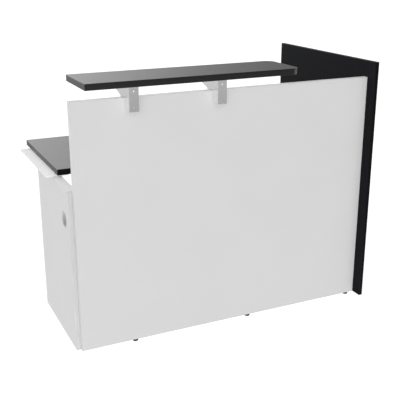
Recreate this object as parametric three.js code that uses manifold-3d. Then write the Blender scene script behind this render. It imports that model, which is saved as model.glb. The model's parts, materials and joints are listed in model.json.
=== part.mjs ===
// Straight reception desk module with a raised counter shelf.
// Millimetres, +Z up, +X to the visitor's right, +Y towards the staff side.
// Desk frame used for the driving dimensions: X = -3 at the left edge of the front panel and the
// worktop, Y = 0 on the front panel's front face, Z = 0 at its lower edge. The exported group is shifted so that
// the origin lies on the floor, under the middle of the whole desk.
import * as THREE from 'three';
import { mergeVertices } from 'three/addons/utils/BufferGeometryUtils.js';
import Module from 'manifold-3d';

// ---------- driving dimensions ----------
const GAP = 0.3;              // clearance kept between pieces that touch
const FLOOR = -9;             // floor level below the front panel's lower edge

const FRONT_X0 = -3;          // white front panel
const FRONT_X1 = 1364;
const FRONT_H = 1050;
const FRONT_T = 25;
const BOARD = 18;             // end panel

const END_Y0 = -53;           // black end panel on the right
const END_DEPTH = 798;
const END_H = 1122;

const LEG_X0 = -21;           // white panel leg under the left end, shared with a next module
const LEG_X1 = 15;
const LEG_Y1 = 523;
const LEG_Z0 = -5;
const LEG_TOP = 695.4;

const TOP_T = 25;             // black worktop
const TOP_X0 = -3;
const TOP_Y0 = 242;
const TOP_Y1 = 810;
const TOP_Z0 = 699;

const SHELF_X0 = 41;          // black counter shelf
const SHELF_X1 = 968;
const SHELF_Y0 = -68;
const SHELF_Y1 = 182;
const SHELF_T = 26;
const SHELF_R = 40;           // rounded corners at the free right end
const SHELF_Z0 = 1098;

const PLATE_X0 = -51;         // steel joining plate on top of the leg
const PLATE_X1 = 45;
const PLATE_Y0 = TOP_Y0;
const PLATE_Y1 = 742;
const PLATE_T = 3;
const PLATE_HOLES_Y = [277, 420, 563, 706];
const PLATE_OUTER_X = -29;    // free holes for the next module's worktop
const PLATE_INNER_X = 26;     // holes for this worktop's screws

const BRACKET_X = [215.7, 591]; // left edges of the two shelf brackets
const BRACKET_W = 40;
const STEEL = 3;
const FLANGE_Y = -54;         // outer face of the front flange, under the shelf's front edge
const FLANGE_Z0 = 1001;
const FLANGE_HOLES_Z = [1016.5, 1080];
const WEB_Y1 = 150;
const WEB_LEG_Y1 = 43;        // short leg of the web behind the front panel
const WEB_LEG_Z0 = 1006;
const WEB_HIP_Z = 1052;
const WEB_TAIL_Z = 1085;
const TAB_SCREW_Z = 1027;
const SHELF_SCREWS_Y = [-16, 118];

const PORT_Y = 98;            // cable port through the leg
const PORT_Z = 556;
const PORT_R = 32;
const PORT_INNER_R = 29.8;
const PORT_LIP_R = 34.5;

const FRONT_FEET_X = [235, 782, 1328.5];
const END_FEET_Y = [80, 690];
const FOOT_R = 12.5;
const STUD_R = 4;
const STUD_TOP = 28;
const INSERT_R = 5.5;
const INSERT_TOP = 20;
const GLIDE_Y = [70, 470];

const CAM_R = 7.5;            // eccentric connectors
const CAM_H = 12.5;
const CAM_SET = 34;           // cam centre to the board's edge
const END_CAM_Z = [120, 530, 940];
const LEG_CAM_Z = [90, 350, 610];
const END_DOWEL_Z = [240, 820];
const LEG_DOWEL_Z = [220, 480];

const ANGLE_Y = [330, 700];   // steel angles under the worktop's right end
const ANGLE_W = 60;
const ANGLE_LEG = 40;

// ---------- finishes ----------
const paint = (color, roughness, metalness) => new THREE.MeshStandardMaterial({ color, roughness, metalness });
const WHITE = paint(0xe4e4e4, 0.55, 0);
const BLACK = paint(0x1c1d20, 0.5, 0);
const GREY_STEEL = paint(0xa9aaab, 0.4, 0.6);
const WHITE_STEEL = paint(0xe8e8e8, 0.45, 0.2);
const ZINC = paint(0xb9bcc0, 0.3, 1);
const FOOT_BLACK = paint(0x18181a, 0.6, 0);
const PORT_GREY = paint(0xd0d0d0, 0.5, 0);
const BEECH = paint(0xc9a878, 0.8, 0);

// ---------- solids ----------
const wasm = await Module();
wasm.setup();

// closed solid from a geometry, with shared vertices and outward faces
function solid(geometry) {
  let g = geometry.index ? geometry.toNonIndexed() : geometry.clone();
  g.deleteAttribute('normal');
  g.deleteAttribute('uv');
  g = mergeVertices(g, 1e-4);
  const p = g.attributes.position.array;
  const index = g.index.array;
  const tri = [];
  let volume = 0;
  for (let i = 0; i < index.length; i += 3) {
    const [a, b, c] = [index[i], index[i + 1], index[i + 2]];
    if (a === b || b === c || c === a) continue;
    tri.push(a, b, c);
    const [ax, ay, az, bx, by, bz, cx, cy, cz] = [a, b, c].flatMap((k) => [p[3 * k], p[3 * k + 1], p[3 * k + 2]]);
    volume += ax * (by * cz - bz * cy) - ay * (bx * cz - bz * cx) + az * (bx * cy - by * cx);
  }
  if (volume < 0) {
    for (let i = 0; i < tri.length; i += 3) [tri[i + 1], tri[i + 2]] = [tri[i + 2], tri[i + 1]];
  }
  return new wasm.Manifold(new wasm.Mesh({
    numProp: 3,
    vertProperties: new Float32Array(p),
    triVerts: new Uint32Array(tri),
  }));
}

function geometryOf(body) {
  const mesh = body.getMesh();
  const g = new THREE.BufferGeometry();
  g.setAttribute('position', new THREE.BufferAttribute(new Float32Array(mesh.vertProperties), 3));
  g.setIndex(new THREE.BufferAttribute(new Uint32Array(mesh.triVerts), 1));
  g.computeVertexNormals();
  return g;
}

const minus = (body, tools) => tools.reduce((b, t) => b.subtract(solid(t)), body);
const plus = (bodies) => bodies.slice(1).reduce((b, t) => b.add(solid(t)), solid(bodies[0]));

const box = (x0, x1, y0, y1, z0, z1) =>
  new THREE.BoxGeometry(x1 - x0, y1 - y0, z1 - z0).translate((x0 + x1) / 2, (y0 + y1) / 2, (z0 + z1) / 2);

// turned piece: profile of [radius, height] pairs about +Z
const turned = (profile, sides = 12) =>
  new THREE.LatheGeometry(profile.map(([r, z]) => new THREE.Vector2(r, z)), sides).rotateX(Math.PI / 2);

// round hole tool from a point along a unit direction
const UP = new THREE.Vector3(0, 0, 1);
const aim = (dir) => new THREE.Quaternion().setFromUnitVectors(UP, new THREE.Vector3(...dir));
const hole = (from, dir, r, depth, sides = 12) =>
  new THREE.CylinderGeometry(r, r, depth + 2, sides).rotateX(Math.PI / 2).translate(0, 0, depth / 2 - 1)
    .applyQuaternion(aim(dir)).translate(...from);

const desk = new THREE.Group();
desk.name = 'reception_desk';

// adds a piece whose geometry is already in the desk frame
function put(name, body, material) {
  const g = body instanceof wasm.Manifold ? geometryOf(body) : geometryOf(solid(body));
  g.computeBoundingBox();
  const c = g.boundingBox.getCenter(new THREE.Vector3());
  g.translate(-c.x, -c.y, -c.z);
  const mesh = new THREE.Mesh(g, material);
  mesh.name = name;
  mesh.position.copy(c);
  desk.add(mesh);
}

// adds a turned piece with its own +Z pointed along dir
function fit(name, body, material, at, dir) {
  const mesh = new THREE.Mesh(geometryOf(body), material);
  mesh.name = name;
  mesh.position.set(...at);
  mesh.quaternion.copy(aim(dir));
  desk.add(mesh);
}

const cross = (w, l, d) => [
  box(-l / 2, l / 2, -w / 2, w / 2, -1, d),
  box(-w / 2, w / 2, -l / 2, l / 2, -1, d),
];

// pan-head screw: the head's outer face at 0, shank towards +Z
const panScrew = (r, headR, headH, length) =>
  minus(solid(turned([[0, 0], [headR * 0.62, 0], [headR, headH * 0.55], [headR, headH], [r, headH],
    [r, length - 3], [0, length]])), cross(0.9, headR * 1.1, headH * 0.6));

// countersunk screw: the head's outer face at 0
const flatScrew = (r, headR, headH, length) =>
  minus(solid(turned([[0, 0], [headR, 0], [headR, 0.4], [r, headH], [r, length - 3], [0, length]])),
    cross(0.9, headR * 1.1, 1.5));

// ---------- boards ----------
const endX = FRONT_X1;
const camX = FRONT_X1 - CAM_SET;
const camY = FRONT_T + CAM_SET;
const boltY = FRONT_T - BOARD / 2;   // end bolts and dowels, 9 mm in from the panel's back
const footY = FRONT_T / 2;
const legX = (LEG_X0 + LEG_X1) / 2;
const legBoltX = LEG_X1 - BOARD / 2;
const footHole = (x, y) => [
  hole([x, y, 0], [0, 0, 1], INSERT_R + GAP, INSERT_TOP + GAP),
  hole([x, y, 0], [0, 0, 1], STUD_R + 0.6, STUD_TOP + 2.5),
];

put('front_panel', minus(solid(box(FRONT_X0, FRONT_X1 - GAP, 0, FRONT_T, 0, FRONT_H)), [
  ...FRONT_FEET_X.flatMap((x) => footHole(x, footY)),
  ...BRACKET_X.map((x) => hole([x + BRACKET_W / 2, FRONT_T, TAB_SCREW_Z], [0, -1, 0], 1.9 + GAP, 14.5)),
  ...END_CAM_Z.flatMap((z) => [
    hole([camX, FRONT_T, z], [0, -1, 0], CAM_R + GAP, CAM_H + GAP + 0.1),
    hole([FRONT_X1, boltY, z], [-1, 0, 0], 4, CAM_SET),
  ]),
  ...END_DOWEL_Z.map((z) => hole([FRONT_X1, boltY, z], [-1, 0, 0], 4 + GAP, 20.5)),
  ...LEG_CAM_Z.map((z) => hole([legBoltX, FRONT_T, z], [0, -1, 0], 2.5 + GAP, 11.5)),
  ...LEG_DOWEL_Z.map((z) => hole([legBoltX, FRONT_T, z], [0, -1, 0], 4 + GAP, 10.5)),
]), WHITE);

put('end_panel', minus(solid(box(endX, endX + BOARD, END_Y0, END_Y0 + END_DEPTH, 0, END_H)), [
  ...END_FEET_Y.flatMap((y) => footHole(endX + BOARD / 2, y)),
  ...END_CAM_Z.map((z) => hole([endX, boltY, z], [1, 0, 0], 2.5 + GAP, 11.5)),
  ...END_DOWEL_Z.map((z) => hole([endX, boltY, z], [1, 0, 0], 4 + GAP, 10.5)),
  ...ANGLE_Y.map((y) => hole([endX, y, TOP_Z0 - 22], [1, 0, 0], 2 + GAP, 13)),
]), BLACK);

put('leg_panel', minus(solid(box(LEG_X0, LEG_X1, FRONT_T + GAP, LEG_Y1, LEG_Z0, LEG_TOP)), [
  hole([LEG_X0, PORT_Y, PORT_Z], [1, 0, 0], PORT_R, LEG_X1 - LEG_X0 + 2, 32),
  ...LEG_CAM_Z.flatMap((z) => [
    hole([LEG_X1, camY, z], [-1, 0, 0], CAM_R + GAP, CAM_H + GAP + 0.1),
    hole([legBoltX, FRONT_T, z], [0, 1, 0], 4, CAM_SET),
  ]),
  ...LEG_DOWEL_Z.map((z) => hole([legBoltX, FRONT_T, z], [0, 1, 0], 4 + GAP, 20.5)),
  ...GLIDE_Y.map((y) => hole([legX, y, LEG_Z0], [0, 0, 1], 1.5, 13, 12)),
  ...[330, 490].map((y) => hole([6, y, LEG_TOP], [0, 0, -1], 2 + GAP, 28)),
]), WHITE);

put('worktop', minus(solid(box(TOP_X0, FRONT_X1 - GAP, TOP_Y0, TOP_Y1, TOP_Z0, TOP_Z0 + TOP_T)), [
  ...PLATE_HOLES_Y.map((y) => hole([PLATE_INNER_X, y, TOP_Z0], [0, 0, 1], 2 + GAP, 16)),
  ...ANGLE_Y.map((y) => hole([endX - 24, y, TOP_Z0], [0, 0, 1], 2 + GAP, 16)),
]), BLACK);

const shelfOutline = new THREE.Shape();
shelfOutline.moveTo(SHELF_X0, SHELF_Y0);
shelfOutline.lineTo(SHELF_X1 - SHELF_R, SHELF_Y0);
shelfOutline.absarc(SHELF_X1 - SHELF_R, SHELF_Y0 + SHELF_R, SHELF_R, -Math.PI / 2, 0, false);
shelfOutline.lineTo(SHELF_X1, SHELF_Y1 - SHELF_R);
shelfOutline.absarc(SHELF_X1 - SHELF_R, SHELF_Y1 - SHELF_R, SHELF_R, 0, Math.PI / 2, false);
shelfOutline.lineTo(SHELF_X0, SHELF_Y1);
shelfOutline.closePath();
const shelfBoard = new THREE.ExtrudeGeometry(shelfOutline, { depth: SHELF_T, bevelEnabled: false, curveSegments: 8 })
  .translate(0, 0, SHELF_Z0);
put('counter_shelf', minus(solid(shelfBoard), BRACKET_X.flatMap((x) =>
  SHELF_SCREWS_Y.map((y) => hole([x + BRACKET_W / 2, y, SHELF_Z0], [0, 0, 1], 2 + GAP, 16)))), BLACK);

// ---------- cable port liner ----------
const portRing = turned([[PORT_INNER_R, -1.3], [PORT_LIP_R - 0.8, -1.3], [PORT_LIP_R, -0.3 - 0.4], [PORT_LIP_R, -GAP],
  [PORT_R - 0.4, -GAP], [PORT_R - 0.4, LEG_X1 - LEG_X0], [PORT_INNER_R, LEG_X1 - LEG_X0], [PORT_INNER_R, -1.3]], 32);
fit('cable_port_ring', solid(portRing), PORT_GREY, [LEG_X0, PORT_Y, PORT_Z], [1, 0, 0]);

// ---------- joining plate ----------
const plateZ = TOP_Z0 - GAP - PLATE_T;
const plateOutline = new THREE.Shape();
const R = 8;
plateOutline.moveTo(PLATE_X0 + R, PLATE_Y0);
plateOutline.lineTo(PLATE_X1, PLATE_Y0);
plateOutline.lineTo(PLATE_X1, PLATE_Y1);
plateOutline.lineTo(PLATE_X0 + R, PLATE_Y1);
plateOutline.absarc(PLATE_X0 + R, PLATE_Y1 - R, R, Math.PI / 2, Math.PI, false);
plateOutline.lineTo(PLATE_X0, PLATE_Y0 + R);
plateOutline.absarc(PLATE_X0 + R, PLATE_Y0 + R, R, Math.PI, 1.5 * Math.PI, false);
plateOutline.closePath();
const plateSheet = new THREE.ExtrudeGeometry(plateOutline, { depth: PLATE_T, bevelEnabled: false, curveSegments: 4 })
  .translate(0, 0, plateZ);
put('joining_plate', minus(solid(plateSheet), [
  ...PLATE_HOLES_Y.map((y) => hole([PLATE_OUTER_X, y, plateZ], [0, 0, 1], 3.25, PLATE_T + 2)),
  ...PLATE_HOLES_Y.map((y) => hole([PLATE_INNER_X, y, plateZ], [0, 0, 1], 2.5, PLATE_T + 2)),
  ...[330, 490].flatMap((y) => [
    hole([6, y, plateZ], [0, 0, 1], 2.5, PLATE_T + 2),
    turned([[0, 1], [4.4, 1], [4.4, -0.75], [2.5, -2.6], [0, -2.6]]).translate(6, y, plateZ + PLATE_T),
  ]),
]), WHITE_STEEL);
PLATE_HOLES_Y.forEach((y, i) =>
  fit(`worktop_screw_${i + 1}`, panScrew(2, 4, 2.4, 20.5), ZINC, [PLATE_INNER_X, y, plateZ - GAP - 2.4], [0, 0, 1]));
[330, 490].forEach((y, i) =>
  fit(`plate_screw_${i + 1}`, flatScrew(2, 3.9, 2.3, 29), ZINC, [6, y, plateZ + PLATE_T - 0.1], [0, 0, -1]));

// ---------- shelf brackets ----------
const bracketTop = SHELF_Z0 - GAP;
const tabY = FRONT_T + GAP;
BRACKET_X.forEach((x, i) => {
  // the web stands astride the front panel's top edge: front part, a leg behind the panel, and a tapered tail
  const side = new THREE.Shape([
    [FLANGE_Y, FLANGE_Z0], [-GAP, FLANGE_Z0], [-GAP, FRONT_H + GAP], [tabY, FRONT_H + GAP], [tabY, WEB_LEG_Z0],
    [WEB_LEG_Y1, WEB_LEG_Z0], [WEB_LEG_Y1, WEB_HIP_Z], [WEB_Y1, WEB_TAIL_Z], [WEB_Y1, bracketTop], [FLANGE_Y, bracketTop],
  ].map(([y, z]) => new THREE.Vector2(y, z)));
  // the side outline is drawn in Y and Z, then stood up across X
  const web = new THREE.ExtrudeGeometry(side, { depth: STEEL, bevelEnabled: false })
    .applyMatrix4(new THREE.Matrix4().set(0, 0, 1, x, 1, 0, 0, 0, 0, 1, 0, 0, 0, 0, 0, 1));
  const body = plus([
    box(x, x + BRACKET_W, FLANGE_Y, FLANGE_Y + STEEL, FLANGE_Z0, bracketTop),
    web,
    box(x, x + BRACKET_W, tabY, tabY + STEEL, WEB_LEG_Z0, FRONT_H - 6),
    box(x, x + BRACKET_W, FLANGE_Y, WEB_Y1, bracketTop - STEEL, bracketTop),
  ]);
  const mid = x + BRACKET_W / 2;
  put(`shelf_bracket_${i + 1}`, minus(body, [
    ...FLANGE_HOLES_Z.map((z) => hole([mid, FLANGE_Y, z], [0, 1, 0], 3, STEEL + 2)),
    hole([mid, tabY, TAB_SCREW_Z], [0, 1, 0], 2.4, STEEL + 2),
    ...SHELF_SCREWS_Y.map((y) => hole([mid, y, bracketTop - STEEL], [0, 0, 1], 2.5, STEEL + 2)),
  ]), GREY_STEEL);
  fit(`bracket_screw_${i + 1}`, panScrew(1.9, 4, 2.4, 19), ZINC, [mid, tabY + STEEL + GAP + 2.4, TAB_SCREW_Z], [0, -1, 0]);
  SHELF_SCREWS_Y.forEach((y, k) => fit(`shelf_screw_${2 * i + k + 1}`, panScrew(2, 4, 2.4, 20.5), ZINC,
    [mid, y, bracketTop - STEEL - GAP - 2.4], [0, 0, 1]));
});

// ---------- levelling feet ----------
const footPad = () => minus(solid(turned([[0, FLOOR], [FOOT_R - 1, FLOOR], [FOOT_R, FLOOR + 1], [FOOT_R, FLOOR + 5.2],
  [FOOT_R - 2.2, -GAP], [0, -GAP]], 20)), [hole([0, 0, -GAP], [0, 0, -1], STUD_R + 0.15, 4.6)]);
const footStud = () => solid(turned([[0, -4.8], [STUD_R, -4.8], [STUD_R, STUD_TOP - 1.2], [STUD_R - 1.2, STUD_TOP], [0, STUD_TOP]]));
const footInsert = () => solid(turned([[STUD_R + 0.1, GAP], [INSERT_R, GAP], [INSERT_R, INSERT_TOP], [STUD_R + 0.1, INSERT_TOP],
  [STUD_R + 0.1, GAP]]));
const feet = [
  ...FRONT_FEET_X.map((x, i) => [`front_${['left', 'middle', 'right'][i]}`, x, footY]),
  ...END_FEET_Y.map((y, i) => [`end_${['front', 'rear'][i]}`, endX + BOARD / 2, y]),
];
feet.forEach(([where, x, y]) => {
  fit(`foot_pad_${where}`, footPad(), FOOT_BLACK, [x, y, 0], [0, 0, 1]);
  fit(`foot_stud_${where}`, footStud(), ZINC, [x, y, 0], [0, 0, 1]);
  fit(`foot_insert_${where}`, footInsert(), ZINC, [x, y, 0], [0, 0, 1]);
});

// nail-in glides under the leg
GLIDE_Y.forEach((y, i) => fit(`leg_glide_${i + 1}`, solid(turned([[0, FLOOR], [11, FLOOR], [12, FLOOR + 0.7], [12, LEG_Z0 - GAP],
  [1.2, LEG_Z0 - GAP], [1.2, LEG_Z0 + 9], [0, LEG_Z0 + 12]], 20)), PORT_GREY, [legX, y, 0], [0, 0, 1]));

// ---------- eccentric connectors and dowels ----------
// cam: visible face at 0, body towards +Z, mouth for the bolt along +X
const cam = () => minus(solid(turned([[0, 0], [CAM_R - 0.4, 0], [CAM_R, 0.4], [CAM_R, CAM_H], [0, CAM_H]], 20)), [
  ...cross(1.3, 6.4, 2.2),
  box(-4.2, CAM_R + 2, -3.9, 3.9, BOARD / 2 - 0.1 - 3.9, CAM_H + 1),
]);
// bolt: thread below 0, neck and head above
const bolt = () => solid(turned([[0, -11], [2.5, -11], [2.5, 0], [3.4, 0.2], [3.4, 25], [2.1, 25.8], [2.1, 31], [3.2, 31.6],
  [3.2, 36], [0, 36]], 12));
const dowel = () => solid(turned([[0, -10], [3, -10], [4, -9], [4, 19], [3, 20], [0, 20]], 12));
const face = (z, x) => new THREE.Quaternion().setFromRotationMatrix(new THREE.Matrix4().makeBasis(x, z.clone().cross(x), z));
const V = (...a) => new THREE.Vector3(...a);
function fitTurned(name, body, material, at, q) {
  fit(name, body, material, at, [0, 0, 1]);
  desk.children.at(-1).quaternion.copy(q);
}
END_CAM_Z.forEach((z, i) => {
  fitTurned(`end_cam_${i + 1}`, cam(), ZINC, [camX, FRONT_T - 0.1, z], face(V(0, -1, 0), V(1, 0, 0)));
  fit(`end_bolt_${i + 1}`, bolt(), ZINC, [FRONT_X1 - GAP / 2, boltY, z], [-1, 0, 0]);
});
LEG_CAM_Z.forEach((z, i) => {
  fitTurned(`leg_cam_${i + 1}`, cam(), ZINC, [LEG_X1 - 0.1, camY, z], face(V(-1, 0, 0), V(0, -1, 0)));
  fit(`leg_bolt_${i + 1}`, bolt(), ZINC, [legBoltX, FRONT_T + GAP / 2, z], [0, 1, 0]);
});
END_DOWEL_Z.forEach((z, i) => fit(`end_dowel_${i + 1}`, dowel(), BEECH, [FRONT_X1 - GAP / 2, boltY, z], [-1, 0, 0]));
LEG_DOWEL_Z.forEach((z, i) => fit(`leg_dowel_${i + 1}`, dowel(), BEECH, [legBoltX, FRONT_T + GAP / 2, z], [0, 1, 0]));

// ---------- steel angles between worktop and end panel ----------
const angleTop = TOP_Z0 - GAP;
const angleX = endX - GAP;
ANGLE_Y.forEach((y, i) => {
  put(`worktop_angle_${i + 1}`, minus(plus([
    box(angleX - ANGLE_LEG, angleX, y - ANGLE_W / 2, y + ANGLE_W / 2, angleTop - STEEL, angleTop),
    box(angleX - STEEL, angleX, y - ANGLE_W / 2, y + ANGLE_W / 2, angleTop - ANGLE_LEG, angleTop),
  ]), [
    hole([endX - 24, y, angleTop - STEEL], [0, 0, 1], 2.5, STEEL + 2),
    hole([angleX - STEEL, y, TOP_Z0 - 22], [1, 0, 0], 2.5, STEEL + 2),
  ]), GREY_STEEL);
  fit(`angle_top_screw_${i + 1}`, panScrew(2, 4, 2.4, 20.5), ZINC, [endX - 24, y, angleTop - STEEL - GAP - 2.4], [0, 0, 1]);
  fit(`angle_side_screw_${i + 1}`, panScrew(2, 4, 2.4, 17.5), ZINC, [angleX - STEEL - GAP - 2.4, y, TOP_Z0 - 22], [1, 0, 0]);
});

// ---------- origin on the floor under the middle of the desk ----------
desk.position.set(-(PLATE_X0 + endX + BOARD / 2 + FOOT_R) / 2, -(SHELF_Y0 + TOP_Y1) / 2, -FLOOR);

export default desk;
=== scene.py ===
import json
import math

import bmesh
import bpy
from mathutils import Matrix, Vector

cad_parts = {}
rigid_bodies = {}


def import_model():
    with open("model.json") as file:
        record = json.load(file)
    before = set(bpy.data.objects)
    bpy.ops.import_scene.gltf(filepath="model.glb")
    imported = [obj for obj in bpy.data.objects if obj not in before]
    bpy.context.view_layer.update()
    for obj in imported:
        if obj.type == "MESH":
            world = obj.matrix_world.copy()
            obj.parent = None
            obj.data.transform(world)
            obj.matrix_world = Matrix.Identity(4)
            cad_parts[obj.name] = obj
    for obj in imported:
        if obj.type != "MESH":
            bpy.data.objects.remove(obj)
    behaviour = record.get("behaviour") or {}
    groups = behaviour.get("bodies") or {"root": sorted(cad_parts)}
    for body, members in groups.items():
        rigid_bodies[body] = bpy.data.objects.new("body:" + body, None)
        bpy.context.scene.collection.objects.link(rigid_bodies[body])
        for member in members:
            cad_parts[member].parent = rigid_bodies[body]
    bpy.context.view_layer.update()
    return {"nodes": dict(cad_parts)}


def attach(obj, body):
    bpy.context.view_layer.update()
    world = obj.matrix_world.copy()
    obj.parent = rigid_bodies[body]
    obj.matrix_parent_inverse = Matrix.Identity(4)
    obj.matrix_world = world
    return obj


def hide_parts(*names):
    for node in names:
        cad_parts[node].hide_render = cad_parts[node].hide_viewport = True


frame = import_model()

MM = 0.001
# Desk frame (mm): X from the front panel's left edge, Y from its front face, Z from its lower edge.
OX, OY, OZ = -667.25, -371.0, 9.0


def P(x, y, z):
    """A desk-frame point in metres, in the part's frame."""
    return Vector(((x + OX) * MM, (y + OY) * MM, (z + OZ) * MM))


# ------------------------------------------------------------------ camera
YAW, PITCH = 0.43871171536, 0.32350705036
F_PX = 740.82
cam_data = bpy.data.cameras.new("camera")
cam_data.sensor_fit = "HORIZONTAL"
cam_data.sensor_width = 36.0
cam_data.lens = F_PX * 36.0 / 400.0
cam_data.clip_end = 200.0
cam = bpy.data.objects.new("camera", cam_data)
bpy.context.scene.collection.objects.link(cam)
fwd = Vector((math.sin(YAW) * math.cos(PITCH), math.cos(YAW) * math.cos(PITCH), -math.sin(PITCH)))
right = Vector((math.cos(YAW), -math.sin(YAW), 0.0))
up = right.cross(fwd)
rot = Matrix((right, up, -fwd)).transposed().to_4x4()
cam.matrix_world = Matrix.Translation(P(-719.543, -2679.228, 1580.880)) @ rot
bpy.context.scene.camera = cam

# ------------------------------------------------------------------ node helpers


def new_material(name):
    m = bpy.data.materials.new(name)
    m.use_nodes = True
    nt = m.node_tree
    nt.nodes.clear()
    out = nt.nodes.new("ShaderNodeOutputMaterial")
    bsdf = nt.nodes.new("ShaderNodeBsdfPrincipled")
    nt.links.new(bsdf.outputs["BSDF"], out.inputs["Surface"])
    return m, nt, bsdf


def coords(nt, scale=(1, 1, 1)):
    tc = nt.nodes.new("ShaderNodeTexCoord")
    mp = nt.nodes.new("ShaderNodeMapping")
    mp.inputs["Scale"].default_value = scale
    nt.links.new(tc.outputs["Object"], mp.inputs["Vector"])
    return mp.outputs["Vector"]


def noise(nt, vec, scale, detail=2.0, rough=0.5, dist=0.0):
    n = nt.nodes.new("ShaderNodeTexNoise")
    n.inputs["Scale"].default_value = scale
    n.inputs["Detail"].default_value = detail
    n.inputs["Roughness"].default_value = rough
    n.inputs["Distortion"].default_value = dist
    nt.links.new(vec, n.inputs["Vector"])
    return n.outputs["Fac"]


def ramp(nt, fac, stops):
    r = nt.nodes.new("ShaderNodeValToRGB")
    els = r.color_ramp.elements
    while len(els) < len(stops):
        els.new(0.5)
    for e, (pos, col) in zip(els, stops):
        e.position = pos
        e.color = col if len(col) == 4 else (*col, 1.0)
    nt.links.new(fac, r.inputs["Fac"])
    return r.outputs["Color"]


def remap(nt, fac, lo, hi, a=0.3, b=0.7):
    m = nt.nodes.new("ShaderNodeMapRange")
    m.inputs["From Min"].default_value = a
    m.inputs["From Max"].default_value = b
    m.inputs["To Min"].default_value = lo
    m.inputs["To Max"].default_value = hi
    nt.links.new(fac, m.inputs["Value"])
    return m.outputs["Result"]


def math_node(nt, op, a, b):
    m = nt.nodes.new("ShaderNodeMath")
    m.operation = op
    for i, v in enumerate((a, b)):
        if isinstance(v, (int, float)):
            m.inputs[i].default_value = v
        else:
            nt.links.new(v, m.inputs[i])
    return m.outputs[0]


def bump(nt, bsdf, height, strength, distance):
    b = nt.nodes.new("ShaderNodeBump")
    b.inputs["Strength"].default_value = strength
    b.inputs["Distance"].default_value = distance
    nt.links.new(height, b.inputs["Height"])
    nt.links.new(b.outputs["Normal"], bsdf.inputs["Normal"])


def g(v):
    return (v, v, v)


# ------------------------------------------------------------------ materials
def laminate(name, dark, light, specular, rough_lo, rough_hi, tint=(1, 1, 1)):
    """Melamine-faced board: a fine pearl texture in the surface, with faint cloudy variation."""
    m, nt, bsdf = new_material(name)
    vec = coords(nt)
    cloud = noise(nt, vec, 3.2, 3.0, 0.55)
    speck = noise(nt, vec, 900.0, 1.0, 0.5)
    mixed = math_node(nt, "ADD", math_node(nt, "MULTIPLY", cloud, 0.75), math_node(nt, "MULTIPLY", speck, 0.25))
    col = ramp(nt, mixed, [(0.32, [dark * t for t in tint]), (0.68, [light * t for t in tint])])
    nt.links.new(col, bsdf.inputs["Base Color"])
    nt.links.new(remap(nt, noise(nt, vec, 26.0, 3.0, 0.6), rough_lo, rough_hi), bsdf.inputs["Roughness"])
    bsdf.inputs["Specular IOR Level"].default_value = specular
    pearl = math_node(nt, "ADD", noise(nt, vec, 620.0, 2.0, 0.5), math_node(nt, "MULTIPLY", noise(nt, vec, 170.0, 1.0, 0.5), 0.6))
    bump(nt, bsdf, pearl, 0.10, 0.0004)
    return m


def edging(name, dark, light, specular, rough_lo, rough_hi, tint=(1, 1, 1)):
    """Extruded edge strip: smoother than the board's faces, with faint lines along its length."""
    m, nt, bsdf = new_material(name)
    vec = coords(nt)
    cloud = noise(nt, vec, 9.0, 2.0, 0.5)
    nt.links.new(ramp(nt, cloud, [(0.3, [dark * t for t in tint]), (0.7, [light * t for t in tint])]), bsdf.inputs["Base Color"])
    nt.links.new(remap(nt, noise(nt, vec, 45.0, 2.0, 0.5), rough_lo, rough_hi), bsdf.inputs["Roughness"])
    bsdf.inputs["Specular IOR Level"].default_value = specular
    bump(nt, bsdf, noise(nt, vec, 380.0, 2.0, 0.5), 0.06, 0.0003)
    return m


def paint_corner_highlight(m, x0, x1, y_mid, y0, y1):
    """Painted highlight on an edge strip's rounded corner: a lighter colour from x0 to x1 along X, and from y0 to y1
    off the middle line, standing in for light reflected there.
    """
    nt = m.node_tree
    bsdf = nt.nodes["Principled BSDF"]
    plain = bsdf.inputs["Base Color"].links[0].from_socket
    sep = nt.nodes.new("ShaderNodeSeparateXYZ")
    vec = coords(nt)
    nt.links.new(vec, sep.inputs[0])
    off = math_node(nt, "ABSOLUTE", math_node(nt, "SUBTRACT", sep.outputs["Y"], P(0, y_mid, 0)[1]), 0.0)
    parts = []
    for value, a, b in ((sep.outputs["X"], P(x0, 0, 0)[0], P(x1, 0, 0)[0]), (off, y0 * MM, y1 * MM)):
        r = nt.nodes.new("ShaderNodeMapRange")
        r.interpolation_type = "SMOOTHSTEP"
        r.inputs["From Min"].default_value = a
        r.inputs["From Max"].default_value = b
        nt.links.new(value, r.inputs["Value"])
        parts.append(r.outputs["Result"])
    mix = nt.nodes.new("ShaderNodeMix")
    mix.data_type = "RGBA"
    nt.links.new(math_node(nt, "MULTIPLY", parts[0], parts[1]), mix.inputs["Factor"])
    nt.links.new(plain, mix.inputs[6])
    # the lighter grey here is the painted highlight's colour
    nt.links.new(ramp(nt, noise(nt, vec, 240.0, 2.0, 0.5), [(0.3, g(0.12)), (0.7, g(0.16))]), mix.inputs[7])
    nt.links.new(mix.outputs[2], bsdf.inputs["Base Color"])
    return m


def powder(name, dark, light, metallic, rough_lo, rough_hi):
    """Powder-coated sheet steel: fine orange peel and a speckle of pigment."""
    m, nt, bsdf = new_material(name)
    vec = coords(nt)
    fine = noise(nt, vec, 1400.0, 1.0, 0.5)
    nt.links.new(ramp(nt, fine, [(0.3, g(dark)), (0.7, g(light))]), bsdf.inputs["Base Color"])
    nt.links.new(remap(nt, noise(nt, vec, 60.0, 2.0, 0.5), rough_lo, rough_hi), bsdf.inputs["Roughness"])
    bsdf.inputs["Metallic"].default_value = metallic
    bump(nt, bsdf, noise(nt, vec, 520.0, 2.0, 0.6), 0.12, 0.0003)
    return m


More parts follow.
